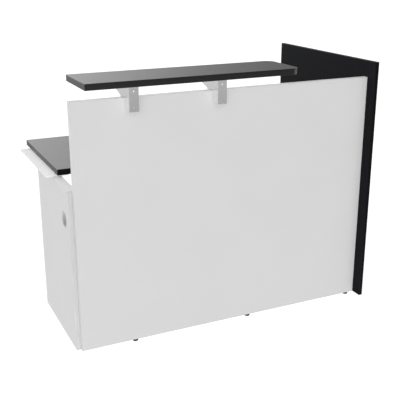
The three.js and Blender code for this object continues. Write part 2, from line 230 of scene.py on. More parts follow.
def zinc(name):
    """Bright zinc plate with a cloudy passivated film."""
    m, nt, bsdf = new_material(name)
    vec = coords(nt)
    film = noise(nt, vec, 240.0, 3.0, 0.6)
    nt.links.new(ramp(nt, film, [(0.3, (0.50, 0.51, 0.54)), (0.7, (0.66, 0.66, 0.66))]), bsdf.inputs["Base Color"])
    nt.links.new(remap(nt, noise(nt, vec, 900.0, 2.0, 0.6), 0.24, 0.40), bsdf.inputs["Roughness"])
    bsdf.inputs["Metallic"].default_value = 1.0
    bump(nt, bsdf, noise(nt, vec, 1600.0, 1.0, 0.5), 0.08, 0.0002)
    return m


def plastic(name, dark, light, rough_lo, rough_hi, grain=1500.0):
    """Moulded plastic with a spark-eroded grain."""
    m, nt, bsdf = new_material(name)
    vec = coords(nt)
    nt.links.new(ramp(nt, noise(nt, vec, 120.0, 2.0, 0.5), [(0.3, g(dark)), (0.7, g(light))]), bsdf.inputs["Base Color"])
    nt.links.new(remap(nt, noise(nt, vec, 300.0, 2.0, 0.5), rough_lo, rough_hi), bsdf.inputs["Roughness"])
    bump(nt, bsdf, noise(nt, vec, grain, 2.0, 0.6), 0.2, 0.0003)
    return m


def beech(name):
    m, nt, bsdf = new_material(name)
    vec = coords(nt, (1.0, 1.0, 0.15))
    grain = noise(nt, vec, 700.0, 3.0, 0.6, 0.6)
    nt.links.new(ramp(nt, grain, [(0.3, (0.42, 0.27, 0.13)), (0.7, (0.62, 0.44, 0.25))]), bsdf.inputs["Base Color"])
    nt.links.new(remap(nt, grain, 0.6, 0.75), bsdf.inputs["Roughness"])
    bump(nt, bsdf, grain, 0.3, 0.0003)
    return m


WHITE = laminate("white_laminate", 0.690, 0.710, 0.35, 0.46, 0.56)
WHITE_EDGE = edging("white_edging", 0.685, 0.705, 0.30, 0.46, 0.56)
# leg strips: copies of the white edging painted darker as painted shade, the front and rear strips darker than the top
# strip
LEG_EDGE_PAINTED_SHADE = edging("leg_edging_painted_shade", 0.605, 0.625, 0.06, 0.52, 0.62)
LEG_TOP_EDGE_PAINTED_SHADE = edging("leg_top_edging_painted_shade", 0.665, 0.685, 0.06, 0.52, 0.62)
BLACK = laminate("black_laminate", 0.0070, 0.0100, 0.50, 0.37, 0.39, (0.96, 0.98, 1.10))
BLACK_EDGE = edging("black_edging", 0.0070, 0.0095, 0.50, 0.27, 0.33, (0.96, 0.98, 1.12))
# the shelf's wrapped edge strip carries a painted highlight at its rounded right-end corners
CORNER_HIGHLIGHT_BLACK_EDGE = paint_corner_highlight(edging("corner_highlight_black_edging", 0.0070, 0.0095, 0.50, 0.27, 0.33, (0.96, 0.98, 1.12)), 930.0, 952.0, 57.0, 85.0, 100.0)
DULL_BLACK_EDGE = edging("dull_black_edging", 0.0070, 0.0095, 0.50, 0.31, 0.37, (0.96, 0.98, 1.12))
MATT_BLACK = laminate("matt_black_laminate", 0.0068, 0.0079, 0.055, 0.44, 0.47, (0.92, 0.98, 1.20))
MATT_BLACK_EDGE = edging("matt_black_edging", 0.0040, 0.0055, 0.10, 0.36, 0.44, (0.92, 0.98, 1.20))
GREY_STEEL = powder("satin_steel", 0.85, 0.89, 1.0, 0.13, 0.18)
WHITE_STEEL = powder("white_powder_coat", 0.85, 0.89, 0.0, 0.50, 0.60)
WHITE_STEEL.node_tree.nodes["Principled BSDF"].inputs["Specular IOR Level"].default_value = 0.06
ZINC = zinc("zinc_plate")
FOOT = plastic("foot_plastic", 0.003, 0.005, 0.60, 0.70)
FOOT.node_tree.nodes["Principled BSDF"].inputs["Specular IOR Level"].default_value = 0.15
PORT = plastic("port_plastic", 0.50, 0.54, 0.42, 0.52, 1100.0)
BEECH = beech("beech")

# ------------------------------------------------------------------ mesh helpers


def to_object(bm, name, material, smooth_angle=35.0):
    bmesh.ops.recalc_face_normals(bm, faces=bm.faces)
    me = bpy.data.meshes.new(name)
    bm.to_mesh(me)
    bm.free()
    ob = bpy.data.objects.new(name, me)
    bpy.context.scene.collection.objects.link(ob)
    me.materials.append(material)
    shade(ob, smooth_angle)
    return ob


def shade(ob, angle):
    me = ob.data
    bm = bmesh.new()
    bm.from_mesh(me)
    bmesh.ops.remove_doubles(bm, verts=bm.verts[:], dist=2e-6)
    bmesh.ops.dissolve_degenerate(bm, edges=bm.edges[:], dist=1e-6)
    for f in bm.faces:
        f.smooth = True
    lim = math.radians(angle)
    for e in bm.edges:
        e.smooth = not (len(e.link_faces) != 2 or e.calc_face_angle(0.0) > lim)
    bm.to_mesh(me)
    bm.free()


def bm_box(lo, hi, bevel=0.0, segs=2, edges=None):
    """A box between two corners (metres), with its edges, or those that edges() picks, rounded."""
    bm = bmesh.new()
    bmesh.ops.create_cube(bm, size=1.0)
    c, d = (lo + hi) / 2, hi - lo
    for v in bm.verts:
        v.co = Vector((c[i] + v.co[i] * d[i] for i in range(3)))
    if bevel:
        picked = [e for e in bm.edges if edges is None or edges(e, c)]
        bmesh.ops.bevel(bm, geom=picked, offset=bevel, segments=segs, profile=0.5, affect="EDGES", clamp_overlap=True)
    return bm


def lathe(profile, sides, axis_to=None, at=Vector((0, 0, 0)), closed=False):
    """Turned mesh from [radius, height] pairs in metres about +Z, then pointed along axis_to at a place."""
    bm = bmesh.new()
    rings = []
    for r, z in profile:
        if r < 1e-9:
            rings.append([bm.verts.new((0, 0, z))])
        else:
            rings.append([bm.verts.new((r * math.cos(2 * math.pi * k / sides), r * math.sin(2 * math.pi * k / sides), z)) for k in range(sides)])
    pairs = list(zip(rings, rings[1:]))
    if closed:
        pairs.append((rings[-1], rings[0]))
    for a, b in pairs:
        for k in range(sides):
            j = (k + 1) % sides
            if len(a) == 1 and len(b) == 1:
                continue
            if len(a) == 1:
                bm.faces.new((a[0], b[k], b[j]))
            elif len(b) == 1:
                bm.faces.new((a[k], a[j], b[0]))
            else:
                bm.faces.new((a[k], a[j], b[j], b[k]))
    place(bm, axis_to, at)
    return bm


def place(bm, axis_to=None, at=Vector((0, 0, 0))):
    q = Vector((0, 0, 1)).rotation_difference(Vector(axis_to)).to_matrix().to_4x4() if axis_to else Matrix.Identity(4)
    bmesh.ops.transform(bm, matrix=Matrix.Translation(at) @ q, verts=bm.verts)


def boolean(ob, tools, op="DIFFERENCE"):
    """Cuts or joins tool meshes and keeps the result as the object's own mesh."""
    for bm in tools:
        bmesh.ops.recalc_face_normals(bm, faces=bm.faces)
        me = bpy.data.meshes.new("tool")
        bm.to_mesh(me)
        bm.free()
        t = bpy.data.objects.new("tool", me)
        bpy.context.scene.collection.objects.link(t)
        mod = ob.modifiers.new("cut", "BOOLEAN")
        mod.operation = op
        mod.solver = "EXACT"
        mod.object = t
        bpy.context.view_layer.update()
        done = bpy.data.meshes.new_from_object(ob.evaluated_get(bpy.context.evaluated_depsgraph_get()))
        ob.modifiers.remove(mod)
        old = ob.data
        ob.data = done
        bpy.data.meshes.remove(old)
        bpy.data.objects.remove(t)
        bpy.data.meshes.remove(me)
    return ob


def cyl(at, axis, r, depth, sides=48):
    """Round tool that starts 2 mm before a face and goes depth into it."""
    return lathe([(0, -0.002), (r, -0.002), (r, depth), (0, depth)], sides, axis, at)


def keep(ob, body, slot, *nodes):
    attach(ob, body)
    if nodes:
        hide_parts(*nodes)
    return ob


# ------------------------------------------------------------------ boards
BAND = 2.0      # edge strip thickness, mm
SEAM = 0.12     # hairline between strip and face


def board(node, lo, hi, thin, face_mat, edge_mat, slot, cuts=(), radius=1.4):
    """A laminated board: core with two faces, and an edge strip with rounded corners on each of its four edges.
    lo and hi are desk-frame corners, thin is the index of the thickness axis."""
    axes = [i for i in range(3) if i != thin]
    a, b = axes
    core_lo, core_hi = list(lo), list(hi)
    for i in axes:
        core_lo[i] += BAND + SEAM
        core_hi[i] -= BAND + SEAM
    core = to_object(bm_box(P(*core_lo), P(*core_hi), 0.12 * MM, 1), node + "_board", face_mat, 50)
    if cuts:
        boolean(core, cuts)
        shade(core, 40)
    keep(core, "desk", slot, node)
    # strips along b at both ends of a run the full height; strips along a sit between them
    for i, (run, across) in enumerate(((b, a), (a, b))):
        for side in (0, 1):
            s_lo, s_hi = list(lo), list(hi)
            if side == 0:
                s_hi[across] = lo[across] + BAND
            else:
                s_lo[across] = hi[across] - BAND
            if i == 1:
                s_lo[run] = lo[run] + BAND + SEAM / 2
                s_hi[run] = hi[run] - BAND - SEAM / 2
            outer = P(*s_lo)[across] if side == 0 else P(*s_hi)[across]

            def long_outer(e, c, run=run, across=across, outer=outer, full=(i == 0)):
                va, vb = e.verts[0].co, e.verts[1].co
                on = abs(va[across] - outer) < 1e-7 and abs(vb[across] - outer) < 1e-7
                along = abs(va[run] - vb[run]) > 1e-6
                return on and (along or full)

            strip = to_object(bm_box(P(*s_lo), P(*s_hi), radius * MM, 4, long_outer), f"{node}_edge_{2 * i + side + 1}", edge_mat, 40)
            keep(strip, "desk", slot)
    return core


FRONT_X0, FRONT_X1, FRONT_H, FRONT_T = -3.0, 1364.0, 1050.0, 25.0
END_H, END_T = 1122.0, 18.0
LEG_X0, LEG_X1 = -21.0, 15.0
PORT_Y, PORT_Z = 98.0, 556.0
CAM_X, CAM_Y = FRONT_X1 - 34.0, FRONT_T + 34.0
END_CAM_Z, LEG_CAM_Z = (120.0, 530.0, 940.0), (90.0, 350.0, 610.0)
FRONT_FEET_X, END_FEET_Y = (235.0, 782.0, 1328.5), (80.0, 690.0)
BRACKET_X = (215.7, 591.0)
SHELF_SCREWS_Y = (-16.0, 118.0)
TAB_SCREW_Z = 1027.0
PLATE_HOLES_Y = (277.0, 420.0, 563.0, 706.0)
ANGLE_Y = (330.0, 700.0)

front = board("front_panel", (FRONT_X0, 0, 0), (FRONT_X1 - 0.3, FRONT_T, FRONT_H), 1, WHITE, WHITE_EDGE, "white_laminate",
              [cyl(P(CAM_X, FRONT_T, z), (0, -1, 0), 7.7 * MM, 12.7 * MM) for z in END_CAM_Z]
              + [cyl(P(x + 20, FRONT_T, TAB_SCREW_Z), (0, -1, 0), 2.2 * MM, 14.5 * MM, 24) for x in BRACKET_X], 0.6)
board("end_panel", (FRONT_X1, -53, 0), (FRONT_X1 + END_T, 745, END_H), 0, MATT_BLACK, MATT_BLACK_EDGE, "black_laminate",
      [cyl(P(FRONT_X1, y, 677), (1, 0, 0), 2.3 * MM, 13 * MM, 24) for y in ANGLE_Y])
board("leg_panel", (LEG_X0, FRONT_T + 0.3, -5), (LEG_X1, 523, 695.4), 0, WHITE, WHITE_EDGE, "white_laminate",
      [cyl(P(LEG_X0, PORT_Y, PORT_Z), (1, 0, 0), 32 * MM, 40 * MM, 96)]
      + [cyl(P(LEG_X1, CAM_Y, z), (-1, 0, 0), 7.7 * MM, 12.7 * MM) for z in LEG_CAM_Z])
board("worktop", (-3, 242, 699), (FRONT_X1 - 0.3, 810, 724), 2, BLACK, BLACK_EDGE, "black_laminate",
      [cyl(P(26, y, 699), (0, 0, 1), 2.3 * MM, 16 * MM, 24) for y in PLATE_HOLES_Y]
      + [cyl(P(FRONT_X1 - 24, y, 699), (0, 0, 1), 2.3 * MM, 16 * MM, 24) for y in ANGLE_Y])

# the worktop's front strip, turned to the cable gap, is the matt one
bpy.data.objects["worktop_edge_3"].data.materials[0] = MATT_BLACK_EDGE
# the strip at the joining end is duller, and so are those of the leg; the leg's strips are also painted darker than the
# other white strips as painted shade, most on its front and rear strips, a little on its top strip
bpy.data.objects["worktop_edge_1"].data.materials[0] = DULL_BLACK_EDGE
for i, m in ((1, LEG_EDGE_PAINTED_SHADE), (2, LEG_EDGE_PAINTED_SHADE), (4, LEG_TOP_EDGE_PAINTED_SHADE)):
    bpy.data.objects[f"leg_panel_edge_{i}"].data.materials[0] = m

# holes in the lower edge strips, where the levelling studs come out
for node, spots in (("front_panel", [(x, FRONT_T / 2) for x in FRONT_FEET_X]), ("end_panel", [(FRONT_X1 + 9.0, y) for y in END_FEET_Y])):
    for ob in list(bpy.data.objects):
        if ob.name.startswith(node + "_edge_"):
            lo_z = min(v.co.z for v in ob.data.vertices)
            hi_z = max(v.co.z for v in ob.data.vertices)
            if abs(lo_z - OZ * MM) < 1e-6 and hi_z - lo_z < 0.01:
                boolean(ob, [cyl(P(x, y, 0), (0, 0, 1), 5.8 * MM, 6 * MM) for x, y in spots])
                shade(ob, 40)
    core = bpy.data.objects[node + "_board"]
    boolean(core, [cyl(P(x, y, 0), (0, 0, 1), 5.8 * MM, 20.3 * MM) for x, y in spots]
            + [cyl(P(x, y, 0), (0, 0, 1), 4.6 * MM, 30.5 * MM) for x, y in spots])
    shade(core, 40)

# counter shelf: square left end, rounded corners at the free right end, one strip wrapped round the edge
SX0, SX1, SY0, SY1, SZ0, SZ1, SR = 41.0, 968.0, -68.0, 182.0, 1098.0, 1124.0, 40.0


def shelf_loop(inset, z, n=14):
    """Outline of the shelf, moved in by inset, counter-clockwise from above, as desk-frame points."""
    r = SR - inset
    pts = [(SX0 + inset, SY0 + inset, z)]
    for cx, cy, a0 in ((SX1 - SR, SY0 + SR, -90), (SX1 - SR, SY1 - SR, 0)):
        for k in range(n + 1):
            a = math.radians(a0 + 90 * k / n)
            pts.append((cx + r * math.cos(a), cy + r * math.sin(a), z))
    pts.append((SX0 + inset, SY1 - inset, z))
    return pts


bm = bmesh.new()
i0 = BAND + SEAM
rings = [[bm.verts.new(P(*p)) for p in shelf_loop(i0 + d, z)] for d, z in ((0.12, SZ0), (0.0, SZ0 + 0.12), (0.0, SZ1 - 0.12), (0.12, SZ1))]
n = len(rings[0])
for ra, rb in zip(rings, rings[1:]):
    for k in range(n):
        bm.faces.new((ra[k], ra[(k + 1) % n], rb[(k + 1) % n], rb[k]))
bm.faces.new(list(reversed(rings[0])))
bm.faces.new(rings[-1])
shelf = to_object(bm, "counter_shelf_board", BLACK, 30)
boolean(shelf, [cyl(P(x + 20, y, SZ0), (0, 0, 1), 2.3 * MM, 16 * MM, 24) for x in BRACKET_X for y in SHELF_SCREWS_Y])
shade(shelf, 30)
keep(shelf, "desk", "black_laminate", "counter_shelf")
bm = bmesh.new()
rr = 1.4
sect = [(BAND, SZ0)]
sect += [(rr - rr * math.sin(math.radians(90 * k / 4)), SZ0 + rr - rr * math.cos(math.radians(90 * k / 4))) for k in range(5)]
sect += [(rr - rr * math.cos(math.radians(90 * k / 4)), SZ1 - rr + rr * math.sin(math.radians(90 * k / 4))) for k in range(5)]
sect += [(BAND, SZ1)]
rings = [[bm.verts.new(P(*p)) for p in shelf_loop(d, z)] for d, z in sect]
for ra, rb in zip(rings, rings[1:] + rings[:1]):
    for k in range(n):
        bm.faces.new((ra[k], ra[(k + 1) % n], rb[(k + 1) % n], rb[k]))
# this strip has the painted corner highlight at its right end
keep(to_object(bm, "counter_shelf_edge", CORNER_HIGHLIGHT_BLACK_EDGE, 30), "desk", "black_laminate")

# ------------------------------------------------------------------ fasteners


def cross_recess(size, depth):
    """Cross recess with tapering wings, cut from z = 0 towards +Z."""
    tools = []
    for turn in (0, 1):
        bm = bmesh.new()
        w, l = 0.11 * size, 0.5 * size
        top = [(-l, -w), (l, -w), (l, w), (-l, w)]
        low = [(x * 0.30, y * 0.75) for x, y in top]
        va = [bm.verts.new((*((x, y) if not turn else (-y, x)), -0.001)) for x, y in [(x * 1.05, y) for x, y in top]]
        vb = [bm.verts.new((*((x, y) if not turn else (-y, x)), depth)) for x, y in low]
        bm.faces.new(list(reversed(va)))
        bm.faces.new(vb)
        for k in range(4):
            bm.faces.new((va[k], va[(k + 1) % 4], vb[(k + 1) % 4], vb[k]))
        tools.append(bm)
    return tools


def thread_profile_mesh(bm, r, depth, pitch, z0, z1, sides=24, per=6):
    """A single-start thread as a grid whose radius follows the helix; returns its end rings."""
    rows = max(2, int((z1 - z0) / pitch * per))
    rings = []
    for i in range(rows + 1):
        z = z0 + (z1 - z0) * i / rows
        fade = min(1.0, (z - z0) / pitch, (z1 - z) / pitch)
        ring = []
        for k in range(sides):
            ph = (z / pitch - k / sides) % 1.0
            tri = abs(2 * ph - 1.0)
            rr_ = r - depth * tri * max(0.0, fade)
            a = 2 * math.pi * k / sides
            ring.append(bm.verts.new((rr_ * math.cos(a), rr_ * math.sin(a), z)))
        rings.append(ring)
    for ra, rb in zip(rings, rings[1:]):
        for k in range(sides):
            bm.faces.new((ra[k], ra[(k + 1) % sides], rb[(k + 1) % sides], rb[k]))
    return rings[0], rings[-1]


def pan_mesh(length, r=2.0, head=4.0, high=2.4):
    """Pan-head screw with a cross recess and a coarse thread; the head's outer face at 0, shank towards +Z."""
    bm = bmesh.new()
    sides = 32
    prof = [(0, 0.0)]
    prof += [(head * s, high * 0.62 * (1 - math.sqrt(max(0.0, 1 - s ** 2.4)))) for s in (0.35, 0.6, 0.8, 0.92, 0.98)]
    prof += [(head, high * 0.62), (head, high - 0.25), (head - 0.25, high), (r * 1.02, high)]
    first = bm.verts.new((0, 0, 0))
    prev = None
    for rad, z in prof[1:]:
        ring = [bm.verts.new((rad * math.cos(2 * math.pi * k / sides) * MM, rad * math.sin(2 * math.pi * k / sides) * MM, z * MM)) for k in range(sides)]
        for k in range(sides):
            j = (k + 1) % sides
            if prev is None:
                bm.faces.new((first, ring[j], ring[k]))
            else:
                bm.faces.new((prev[k], ring[k], ring[j], prev[j]))
        prev = ring
    a, b = thread_profile_mesh(bm, r * MM, 0.45 * MM, 1.6 * MM, (high + 0.01) * MM, (length - 3) * MM, sides, 5)
    tip = bm.verts.new((0, 0, length * MM))
    for k in range(sides):
        j = (k + 1) % sides
        bm.faces.new((prev[k], a[k], a[j], prev[j]))
        bm.faces.new((b[k], tip, b[j]))
    ob = to_object(bm, "screw_master", ZINC, 30)
    boolean(ob, cross_recess(head * 1.1 * MM, 1.5 * MM))
    shade(ob, 30)
    me = ob.data
    me.materials.clear()
    me.materials.append(ZINC)
    bpy.data.objects.remove(ob)
    return me


def spot(me, name, node, at, axis, body="desk", slot="zinc_steel", turn=0.0):
    ob = bpy.data.objects.new(name, me.copy())
    bpy.context.scene.collection.objects.link(ob)
    q = Vector((0, 0, 1)).rotation_difference(Vector(axis)).to_matrix().to_4x4()
    ob.data.transform(Matrix.Translation(at) @ q @ Matrix.Rotation(turn, 4, "Z"))
    return keep(ob, body, slot, node)


PLATE_Z = 699 - 0.3 - 3
long_pan, mid_pan, side_pan = pan_mesh(20.5), pan_mesh(19.0, 1.9), pan_mesh(17.5)
for i, y in enumerate(PLATE_HOLES_Y):
    spot(long_pan, f"worktop_screw_{i + 1}_zinc", f"worktop_screw_{i + 1}", P(26, y, PLATE_Z - 2.45), (0, 0, 1), turn=0.4 + i)
for i, x in enumerate(BRACKET_X):
    spot(mid_pan, f"bracket_screw_{i + 1}_zinc", f"bracket_screw_{i + 1}", P(x + 20, FRONT_T + 0.3 + 3 + 2.45, TAB_SCREW_Z), (0, -1, 0), turn=0.35 + 0.5 * i)
    for k, y in enumerate(SHELF_SCREWS_Y):
        j = 2 * i + k + 1
        spot(long_pan, f"shelf_screw_{j}_zinc", f"shelf_screw_{j}", P(x + 20, y, SZ0 - 3.3 - 2.45), (0, 0, 1), turn=0.2 + j)
for i, y in enumerate(ANGLE_Y):
    spot(long_pan, f"angle_top_screw_{i + 1}_zinc", f"angle_top_screw_{i + 1}", P(FRONT_X1 - 24, y, PLATE_Z - 2.45), (0, 0, 1), turn=0.7 + i)
    spot(side_pan, f"angle_side_screw_{i + 1}_zinc", f"angle_side_screw_{i + 1}", P(FRONT_X1 - 0.3 - 3 - 2.45, y, 677), (1, 0, 0), turn=0.9 + i)

# cam discs, flush in their pockets
bm = lathe([(0, 0), (6.6 * MM, 0), (6.9 * MM, 0.25 * MM), (7.05 * MM, 0.25 * MM), (7.3 * MM, 0.05 * MM), (7.5 * MM, 0.3 * MM), (7.5 * MM, 12.4 * MM), (0, 12.4 * MM)], 64)
cam_master = to_object(bm, "cam_master", ZINC, 30)
boolean(cam_master, cross_recess(7.4 * MM, 2.6 * MM) + [bm_box(Vector((3.2, -0.4, -1)) * MM, Vector((5.6, 0.4, 0.5)) * MM)])
shade(cam_master, 30)
cam_me = cam_master.data
bpy.data.objects.remove(cam_master)
for i, z in enumerate(END_CAM_Z):
    spot(cam_me, f"end_cam_{i + 1}_disc", f"end_cam_{i + 1}", P(CAM_X, FRONT_T - 0.15, z), (0, -1, 0), turn=0.15 * i)
for i, z in enumerate(LEG_CAM_Z):
    spot(cam_me, f"leg_cam_{i + 1}_disc", f"leg_cam_{i + 1}", P(LEG_X1 - 0.15, CAM_Y, z), (-1, 0, 0), turn=1.7 - 0.2 * i)

# ------------------------------------------------------------------ shelf brackets
ST = 3.0
TOPZ = SZ0 - 0.3


def prism(pts, axis, a, b):
    """A closed outline (desk frame, in the two other axes) drawn out along one axis from a to b."""
    bm = bmesh.new()

    def at(p, q):
        return P(q, p[0], p[1]) if axis == 0 else P(p[0], q, p[1]) if axis == 1 else P(p[0], p[1], q)
    va = [bm.verts.new(at(p, a)) for p in pts]
    vb = [bm.verts.new(at(p, b)) for p in pts]
    bm.faces.new(list(reversed(va)))
    bm.faces.new(vb)
    for k in range(len(pts)):
        j = (k + 1) % len(pts)
        bm.faces.new((va[k], va[j], vb[j], vb[k]))
    return bm


def arc(cx, cy, r, a0, a1, steps=8):
    return [(cx + r * math.cos(math.radians(a0 + (a1 - a0) * k / steps)), cy + r * math.sin(math.radians(a0 + (a1 - a0) * k / steps))) for k in range(steps + 1)]


def bracket(i, x):
    """Folded sheet astride the front panel's top edge: side web, front flange, rear tab and top flange, with bend radii."""
    y0, y1, z0 = -54.0, FRONT_T + 0.3, 1001.0
    low = TOPZ - ST - 0.4
    # front flange and the web's front strip, seen from above as one bent L
    plan = [(x, -30.0)] + arc(x + 4, y0 + 4, 4.0, 180, 270) + [(x + 40, y0), (x + 40, y0 + ST)] + arc(x + 4, y0 + 4, 1.0, 270, 180) + [(x + ST, -30.0)]
    steel = to_object(prism(plan, 2, z0, low), f"shelf_bracket_{i}_steel", GREY_STEEL)
    # web: front part, leg behind the panel, tapered tail
    web = prism([(-40.0, z0), (-2.3, z0), (-0.3, z0 + 2), (-0.3, FRONT_H + 0.3), (y1, FRONT_H + 0.3), (y1, FRONT_H - 3.0), (y1 + 4.5, FRONT_H - 3.0),
                 (y1 + 4.5, 1006.0), (41.0, 1006.0), (43.0, 1008.0), (43.0, 1052.0), (147.0, 1084.1), (150.0, 1087.5), (150.0, TOPZ - 3.8), (-40.0, TOPZ - 3.8)], 0, x, x + ST)
    # rear tab, bent off the leg against the panel's back
    tab = [(x, 37.0)] + arc(x + 4, y1 + 4, 4.0, 180, 270) + [(x + 40, y1), (x + 40, y1 + ST)] + arc(x + 4, y1 + 4, 1.0, 270, 180) + [(x + ST, 37.0)]
    tab = prism(tab, 2, 1006.0, FRONT_H - 6)
    # top flange, bent off the web's upper edge
    sect = [(x, TOPZ - 6)] + arc(x + 4, TOPZ - 4, 4.0, 180, 90) + [(x + 40, TOPZ), (x + 40, TOPZ - ST)] + arc(x + 4, TOPZ - 4, 1.0, 90, 180) + [(x + ST, TOPZ - 6)]
    top = prism(sect, 1, y0 + 0.2, 150.0)
    boolean(steel, [web, tab, top], "UNION")
    boolean(steel, [
        cyl(P(x + 20, y0, 1016.5), (0, 1, 0), 3.0 * MM, 6 * MM, 40),
        cyl(P(x + 20, y0, 1080), (0, 1, 0), 3.0 * MM, 6 * MM, 40),
        cyl(P(x + 20, y1, TAB_SCREW_Z), (0, 1, 0), 2.4 * MM, 6 * MM, 32),
        cyl(P(x + 20, SHELF_SCREWS_Y[0], TOPZ - ST), (0, 0, 1), 2.5 * MM, 6 * MM, 32),
        cyl(P(x + 20, SHELF_SCREWS_Y[1], TOPZ - ST), (0, 0, 1), 2.5 * MM, 6 * MM, 32),
    ])
    bv = steel.modifiers.new("soft edges", "BEVEL")
    bv.width = 0.3 * MM
    bv.segments = 2
    bv.limit_method = "ANGLE"
    bv.angle_limit = math.radians(50)
    shade(steel, 35)
    keep(steel, "desk", "grey_steel", f"shelf_bracket_{i}")


for i, x in enumerate(BRACKET_X):
    bracket(i + 1, x)

# ------------------------------------------------------------------ joining plate
bm = bmesh.new()
R8 = 8.0
pts = [(45.0, 242.0), (45.0, 742.0)]
pts += [(-51 + R8 + R8 * math.cos(math.radians(a)), 742 - R8 + R8 * math.sin(math.radians(a))) for a in range(90, 181, 10)]
pts += [(-51 + R8 + R8 * math.cos(math.radians(a)), 242 + R8 + R8 * math.sin(math.radians(a))) for a in range(180, 271, 10)]
rings = []
c0 = 0.4
for ins, z in ((c0, PLATE_Z), (0, PLATE_Z + c0), (0, PLATE_Z + ST - c0), (c0, PLATE_Z + ST)):
    ring = []
    for x, y in pts:
        sx = (x - ins if x > 0 else x + ins)
        sy = (y - ins if y > 500 else y + ins)
        ring.append(bm.verts.new(P(sx, sy, z)))
    rings.append(ring)
m_ = len(pts)
for ra, rb in zip(rings, rings[1:]):
    for k in range(m_):
        bm.faces.new((ra[k], ra[(k + 1) % m_], rb[(k + 1) % m_], rb[k]))
bm.faces.new(list(reversed(rings[0])))
bm.faces.new(rings[-1])
plate = to_object(bm, "joining_plate_steel", WHITE_STEEL, 30)
tools = [lathe([(0, -1 * MM), (3.85 * MM, -1 * MM), (3.85 * MM, 0), (3.25 * MM, 0.6 * MM), (3.25 * MM, 6 * MM), (0, 6 * MM)], 48, (0, 0, -1), P(-29, y, PLATE_Z + ST)) for y in PLATE_HOLES_Y]
tools += [cyl(P(26, y, PLATE_Z), (0, 0, 1), 2.5 * MM, 6 * MM, 32) for y in PLATE_HOLES_Y]
tools += [lathe([(0, -1 * MM), (4.4 * MM, -1 * MM), (4.4 * MM, 0.7 * MM), (2.5 * MM, 2.5 * MM), (2.5 * MM, 6 * MM), (0, 6 * MM)], 48, (0, 0, -1), P(6, y, PLATE_Z + ST)) for y in (330.0, 490.0)]
boolean(plate, tools)
shade(plate, 30)
keep(plate, "desk", "white_steel", "joining_plate")

# ------------------------------------------------------------------ steel angles
for i, y in enumerate(ANGLE_Y):
    ax, az = FRONT_X1 - 0.3, 699 - 0.3
    arc_o = [(ax - 4 + 4 * math.cos(math.radians(a)), az - 4 + 4 * math.sin(math.radians(a))) for a in range(0, 91, 10)]
    arc_i = [(ax - 4 + 1 * math.cos(math.radians(a)), az - 4 + 1 * math.sin(math.radians(a))) for a in range(90, -1, -10)]
    prof = [(ax, az - 40)] + arc_o + [(ax - 40, az), (ax - 40, az - ST)] + arc_i + [(ax - ST, az - 40)]
    bm = bmesh.new()
    va = [bm.verts.new(P(p[0], y - 30, p[1])) for p in prof]
    vb = [bm.verts.new(P(p[0], y + 30, p[1])) for p in prof]
    bm.faces.new(va)
    bm.faces.new(list(reversed(vb)))
    for k in range(len(prof)):
        j = (k + 1) % len(prof)
        bm.faces.new((va[k], vb[k], vb[j], va[j]))
    ob = to_object(bm, f"worktop_angle_{i + 1}_steel", GREY_STEEL, 30)
    boolean(ob, [cyl(P(FRONT_X1 - 24, y, az - ST), (0, 0, 1), 2.5 * MM, 6 * MM, 32), cyl(P(ax - ST, y, 677), (1, 0, 0), 2.5 * MM, 6 * MM, 32)])
    bv = ob.modifiers.new("soft edges", "BEVEL")
    bv.width, bv.segments, bv.limit_method, bv.angle_limit = 0.35 * MM, 2, "ANGLE", math.radians(50)
    shade(ob, 30)
    keep(ob, "desk", "grey_steel", f"worktop_angle_{i + 1}")

# ------------------------------------------------------------------ cable port liner
ri, ro, rl = 29.8, 31.6, 34.5
prof = [(ri, 36.0), (ri, -0.5)]
prof += [(ri + 0.8 - 0.8 * math.cos(math.radians(a)), -0.5 - 0.8 * math.sin(math.radians(a))) for a in (22.5, 45, 67.5, 90)]
prof += [(rl - 0.7, -1.3), (rl - 0.3, -1.15), (rl, -0.75), (rl, -0.05), (ro, -0.05), (ro, 36.0)]
ring = to_object(lathe([(r * MM, z * MM) for r, z in prof], 96, (1, 0, 0), P(LEG_X0, PORT_Y, PORT_Z), True), "cable_port_liner", PORT, 40)
keep(ring, "desk", "port_plastic", "cable_port_ring")

# ------------------------------------------------------------------ levelling feet and glides
feet = [("front_left", FRONT_FEET_X[0], FRONT_T / 2), ("front_middle", FRONT_FEET_X[1], FRONT_T / 2), ("front_right", FRONT_FEET_X[2], FRONT_T / 2),
        ("end_front", FRONT_X1 + 9, END_FEET_Y[0]), ("end_rear", FRONT_X1 + 9, END_FEET_Y[1])]
for where, x, y in feet:
    body = "foot_" + where
    prof = [(0, -9.0), (10.9, -9.0), (11.7, -8.8), (12.3, -8.3), (12.5, -7.6), (12.5, -4.2), (12.35, -3.6), (11.9, -3.1),
            (10.5, -1.2), (10.1, -0.75), (9.5, -0.45), (8.7, -0.3), (4.15, -0.3), (4.15, -4.9), (0, -4.9)]
    pad = to_object(lathe([(r * MM, z * MM) for r, z in prof], 72, None, P(x, y, 0)), f"foot_{where}_pad", FOOT, 35)
    keep(pad, body, "foot_plastic", "foot_pad_" + where)
    bm = bmesh.new()
    a, b = thread_profile_mesh(bm, 4.0 * MM, 0.62 * MM, 1.25 * MM, -4.8 * MM, 26.8 * MM, 28, 6)
    low, high = bm.verts.new((0, 0, -4.8 * MM)), bm.verts.new((0, 0, 28 * MM))
    cap = [bm.verts.new((v.co.x * 0.7, v.co.y * 0.7, 28 * MM)) for v in b]
    for k in range(28):
        j = (k + 1) % 28
        bm.faces.new((a[j], a[k], low))
        bm.faces.new((b[k], b[j], cap[j], cap[k]))
        bm.faces.new((cap[k], cap[j], high))
    place(bm, None, P(x, y, 0))
    keep(to_object(bm, f"foot_{where}_thread", ZINC, 25), body, "zinc_steel", "foot_stud_" + where)
